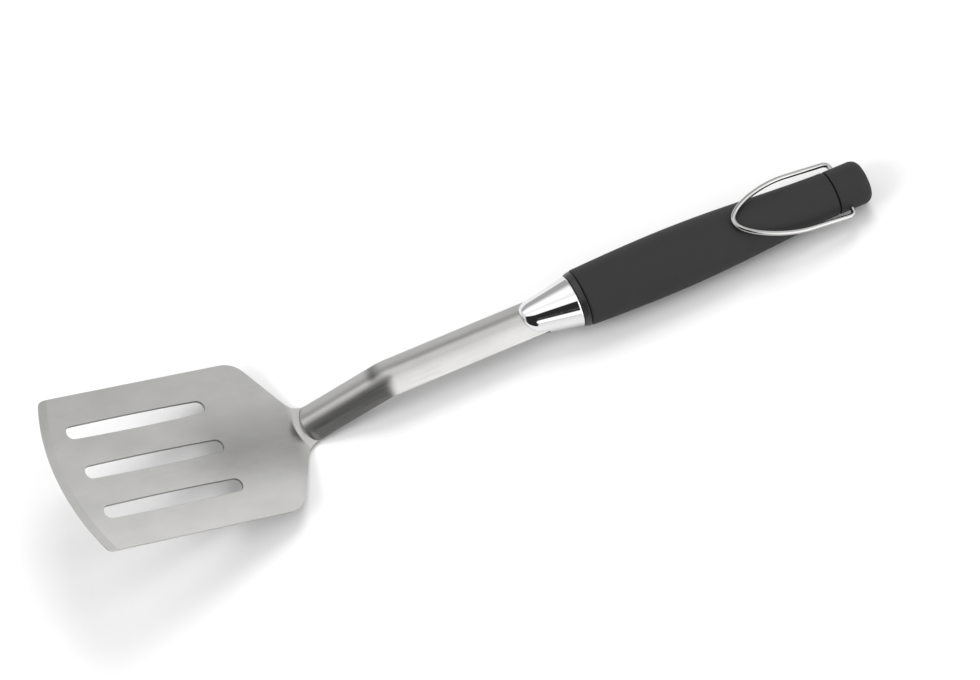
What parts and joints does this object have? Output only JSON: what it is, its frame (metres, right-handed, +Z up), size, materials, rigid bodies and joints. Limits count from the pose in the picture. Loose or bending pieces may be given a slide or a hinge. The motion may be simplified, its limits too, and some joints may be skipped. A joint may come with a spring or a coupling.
{
  "type": "barbecue spatula",
  "caption": "Long barbecue turner: slotted upswept steel blade on a channel-section shaft, bullet ferrule, soft oval grip and a wire hanging loop that folds over the grip.",
  "frame": {"origin": "middle of the bounding box, on the table the tool lies on", "axes": "+X from the blade to the end of the handle, +Y to the left of the blade seen from the handle's rear, +Z up, with the front of the blade raised"},
  "size_m": [0.4734, 0.0936, 0.0668],
  "materials": {
    "blade_steel": "satin brushed",
    "ferrule_chrome": "mirror polished",
    "wire_chrome": "polished",
    "grip_rubber": "matt soft touch",
    "trim_plastic": "satin",
    "core_plastic": "moulded",
    "rivet_steel": "plain"
  },
  "bodies": {
    "spatula": {"blade_and_shaft": "blade_steel", "ferrule": "ferrule_chrome", "front_collar": "trim_plastic", "grip_sleeve": "grip_rubber", "core_upper_half": "core_plastic", "core_lower_half": "core_plastic", "end_cap": "grip_rubber", "tang_rivet_front": "rivet_steel", "tang_rivet_rear": "rivet_steel"},
    "bail": {"hanging_bail": "wire_chrome"}
  },
  "joints": [
    {"name": "bail_hinge", "type": "hinge", "parent": "spatula", "child": "bail", "pos_m": [0.22271, 0, 0.0111], "axis": [0, 1, 0], "range_deg": [0, 335]}
  ]
}
